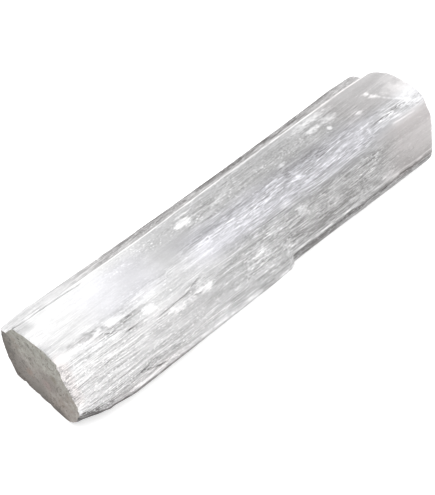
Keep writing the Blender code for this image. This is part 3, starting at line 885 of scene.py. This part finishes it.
# %% Satin spar: how white the fibres are
BASE_WHITENESS = 0.39
hairs = product(tree, bright_hair, sums(tree, 0.32, (banded_here, 0.28)))
fine = sums(tree, -0.28, (strand, 0.30), (hairline, 0.10), (dark_hair, -0.10), (hairs, 1.0))
fine = sums(tree, fine, (product(tree, grooves, attribute(tree, "grooved")), -0.26))
patchy = sums(tree, product(tree, clump, 0.38), (banded_here, 0.95))
dashes, flecks = product(tree, dash, patchy), product(tree, fleck, patchy)
fine = sums(tree, fine, (dashes, 0.42), (flecks, 0.34), (banded_here, -0.25))
fine = sums(tree, fine, (product(tree, crisp, dashed_here), 0.46), (dashed_here, -0.05))
veils = product(tree, milky, sums(tree, 0.3, (banded_here, 0.9)))
fine = product(tree, sums(tree, fine, (veils, 0.15)), attribute(tree, "frayed"))
streaked = sums(tree, -0.09, (fine, 1.0), (cloud, 0.18), (sand, 1.0))
streaked = product(tree, streaked, attribute(tree, "lively"))
milk_and_light_here = attribute(tree, "milk_and_painted_light")
whiteness = sums(tree, milk_and_light_here, (streaked, 1.0), (powder, 0.50))
whiteness = maths(tree, "ADD", whiteness, BASE_WHITENESS, clamped=True)

# %% Satin spar: colour, gloss and bump
fibre_colour = colour_ramp(tree, whiteness, (
    (0.0, (0.13, 0.125, 0.122)), (0.2, (0.32, 0.3165, 0.316)), (0.45, (0.518, 0.516, 0.521)),
    (0.75, (0.78, 0.776, 0.78)), (1.0, (0.97, 0.97, 0.97)),
))
tint = mix_colour(tree, attribute(tree, "lilac"), (1.0, 1.0, 1.0), (0.940, 0.938, 1.0))
tint = mix_colour(tree, attribute(tree, "warm"), tint, (1.0, 0.955, 0.945))
fibre_colour = mix_colour(tree, 1.0, fibre_colour, tint, "MULTIPLY")
# Painted shade: where the stored value is darkest, under the edges and in the crevices, the colour
# is pushed towards near black.
deep_shade = threshold(tree, milk_and_light_here, -0.55, -0.90)
deep_shade_share = product(tree, deep_shade, 0.85)
fibre_colour = mix_colour(tree, deep_shade_share, fibre_colour, (0.03, 0.028, 0.026))
gloss = sums(tree, between(tree, whiteness, 0.20, 0.46), (powder, 0.25), (deep_shade, 0.35))
fibre_bump = node(tree, "ShaderNodeBump", {
    "Height": sums(tree, grit, (hairline, 0.5), (dash, 0.25), (dark_hair, -0.25)),
    "Strength": 0.6, "Distance": 0.05 * MM,
})
across_fibres = node(tree, "ShaderNodeTangent", direction_type="RADIAL", axis="X")
fill(tree, shader, {
    "Base Color": fibre_colour, "Roughness": gloss, "Normal": fibre_bump.outputs[0],
    "IOR": 1.52, "Anisotropic": 0.75, "Tangent": across_fibres.outputs[0],
    "Subsurface Weight": 0.08, "Subsurface Radius": (1.0, 1.0, 1.0),
    "Subsurface Scale": 0.3 * MM,
})
print("satin spar:", len(tree.nodes), "nodes")

# %% [markdown]
# ## The sawn ends
# The saw cuts the fibres short, so light no longer runs along them and the face is dull and
# greyish, with rock dust in its low places. It is a second material on the same mesh: a paint
# mask could do it too, but the edge between face and flank is a real edge.

# %% Sawn end: dust, pits and saw lines
cut, tree, shader = new_material("sawn_fibre_ends")
patch = streaks(tree, 5.0, 5.0, 2.0, 31.0)
stain = threshold(tree, streaks(tree, 2.6, 2.6, 1.0, 53.0), 0.60, 0.70)
dust = streaks(tree, 1.3, 1.3, 3.0, 37.0)
tooth = streaks(tree, 0.30, 0.30, 2.0, 41.0)
pits = threshold(tree, streaks(tree, 0.55, 0.55, 2.0, 47.0), 0.60, 0.68)
contour = maths(tree, "COMPARE", streaks(tree, 1.5, 1.5, 2.0, 59.0), 0.5, 0.012)
saw_line = product(tree, contour, threshold(tree, patch, 0.42, 0.58))
place = node(tree, "ShaderNodeTexCoord").outputs["Object"]
axes = node(tree, "ShaderNodeSeparateXYZ", {0: place})
up_the_face = threshold(tree, axes.outputs[2], 3.0 * MM, 14.0 * MM)
rear_shade = threshold(tree, axes.outputs[1], 5.5 * MM, 11.5 * MM)
# The rim term below is painted shade along the sawn face's low and rear rim.
ends_shade = sums(
    tree, -0.24, (patch, 0.50), (dust, 0.70), (tooth, 0.50), (pits, -0.28), (saw_line, -0.20),
    (rear_shade, -0.12), (attribute(tree, "rim"), -0.44), (up_the_face, -0.05),
)

# %% Sawn end: colour and stains
ends_colour = colour_ramp(tree, ends_shade, (
    (0.10, (0.13, 0.12, 0.11)), (0.40, (0.255, 0.240, 0.220)),
    (0.60, (0.345, 0.330, 0.310)), (0.85, (0.50, 0.485, 0.465)),
))
ends_tint = mix_colour(tree, up_the_face, (1.0, 0.945, 0.925), (0.975, 1.0, 0.955))
ends_colour = mix_colour(tree, 1.0, ends_colour, ends_tint, "MULTIPLY")
ends_colour = mix_colour(tree, product(tree, stain, 0.30), ends_colour, (0.24, 0.185, 0.145))
# Rust-brown and grey stains, as (y, z, reach in millimetres, strength, colour).
STAINS = (
    (1.1, 2.6, 3.2, 0.75, (0.18, 0.165, 0.15)), (5.3, 4.5, 2.8, 0.65, (0.18, 0.165, 0.15)),
    (-2.5, 7.0, 2.6, 0.65, (0.20, 0.175, 0.16)), (3.1, 5.1, 1.2, 0.75, (0.27, 0.21, 0.175)),
    (-6.1, 4.1, 1.3, 0.5, (0.25, 0.20, 0.165)), (-3.9, 9.3, 1.0, 0.9, (0.22, 0.20, 0.165)),
    (-1.9, 5.6, 1.2, 0.8, (0.30, 0.235, 0.22)),
)
flatten = {0: place, 1: (0.0, 1.0, 1.0)}
on_the_face = node(tree, "ShaderNodeVectorMath", flatten, operation="MULTIPLY").outputs[0]
for y, z, reach, strength, colour in STAINS:
    centre = {0: on_the_face, 1: (0.0, y * MM, z * MM)}
    apart = node(tree, "ShaderNodeVectorMath", centre, operation="DISTANCE").outputs["Value"]
    uneven = sums(tree, apart, (dust, -1.6 * reach * MM))
    stained = threshold(tree, uneven, 0.5 * reach * MM, -0.3 * reach * MM)
    ends_colour = mix_colour(tree, product(tree, stained, strength), ends_colour, colour)
cut_bump = node(tree, "ShaderNodeBump", {
    "Height": sums(tree, tooth, (dust, 1.5), (pits, -0.8)), "Strength": 0.9,
    "Distance": 0.2 * MM,
})
fill(tree, shader, {
    "Base Color": ends_colour, "Roughness": between(tree, dust, 0.62, 0.9),
    "Normal": cut_bump.outputs[0], "IOR": 1.52, "Subsurface Weight": 0.05,
    "Subsurface Radius": (1.0, 0.95, 0.85), "Subsurface Scale": 0.2 * MM,
})
print("sawn end:", len(STAINS), "stains,", len(tree.nodes), "nodes")

# %% Put the finishes on and take the model's place
SHARP_EDGE_DEGREES = 38.0
stick_mesh.materials.append(spar)
stick_mesh.materials.append(cut)
finish_of_face = np.zeros(len(faces), dtype=np.int32)
finish_of_face[: CAP_RINGS * size] = 1
finish_of_face[(CAP_RINGS + stations - 1) * size :] = 1
stick_mesh.polygons.foreach_set("material_index", finish_of_face)
stick_mesh.polygons.foreach_set("use_smooth", np.ones(len(faces), dtype=bool))
stick_mesh.set_sharp_from_angle(angle=math.radians(SHARP_EDGE_DEGREES))
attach(stick, "root")
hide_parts("selenite_stick")
print("faces with the sawn finish:", int(finish_of_face.sum()))

# %% [markdown]
# ## The studio
# A pale table, a wide soft light above and behind, and a weak glow all round. The light is large
# so that the silky faces fade softly from one end to the other.

# %% Floor
HALF = 1.5
floor_mesh = bpy.data.meshes.new("studio_floor")
floor_corners = [(-HALF, -HALF, 0), (HALF, -HALF, 0), (HALF, HALF, 0), (-HALF, HALF, 0)]
floor_mesh.from_pydata(floor_corners, [], [(0, 1, 2, 3)])
floor = bpy.data.objects.new("studio_floor", floor_mesh)
bpy.context.scene.collection.objects.link(floor)
paper, tree, shader = new_material("pale_paper")
fill(tree, shader, {
    "Base Color": (0.9, 0.9, 0.9, 1.0), "Roughness": 0.9, "Specular IOR Level": 0.2,
    "Emission Color": (1.0, 1.0, 1.0, 1.0), "Emission Strength": 0.55,
})
floor_mesh.materials.append(paper)

# %% Lights
def soft_light(name, place, aim, size, power):
    """A square area light, in metres and watts."""
    data = bpy.data.lights.new(name, "AREA")
    data.shape = "SQUARE"
    data.size = size
    data.energy = power
    light = bpy.data.objects.new(name, data)
    light.location = place
    light.rotation_euler = (Vector(aim) - Vector(place)).to_track_quat("-Z", "Y").to_euler()
    bpy.context.scene.collection.objects.link(light)


soft_light("high_softbox", (0.16, -0.06, 0.80), (0.0, 0.0, 0.0), size=0.9, power=5.6)
GLOW_STRENGTH = 0.60
world = bpy.data.worlds.new("pale_room")
world.use_nodes = True
background = world.node_tree.nodes["Background"]
fill(world.node_tree, background, {"Color": (1.0, 1.0, 1.0, 1.0), "Strength": GLOW_STRENGTH})
bpy.context.scene.world = world
bpy.context.scene.view_settings.view_transform = "Standard"
print("lights: a softbox, and a glow of %.2f all round" % GLOW_STRENGTH)

# %% Camera
# Its place and the point it looks at, in millimetres.
CAMERA_PLACE = (-150.50, -151.86, 249.01)
CAMERA_AIM = (-4.93, -0.58, 7.5)
camera_data = bpy.data.cameras.new("camera")
camera_data.lens = 115.7
camera_data.sensor_width = 36.0
camera_data.clip_start = 0.01
camera = bpy.data.objects.new("camera", camera_data)
camera.location = Vector(CAMERA_PLACE) * MM
aim = Vector(CAMERA_AIM) * MM
camera.rotation_euler = (aim - camera.location).to_track_quat("-Z", "Y").to_euler()
bpy.context.scene.collection.objects.link(camera)
bpy.context.scene.camera = camera
print("camera: %.0f mm from its aim" % ((aim - camera.location).length / MM))
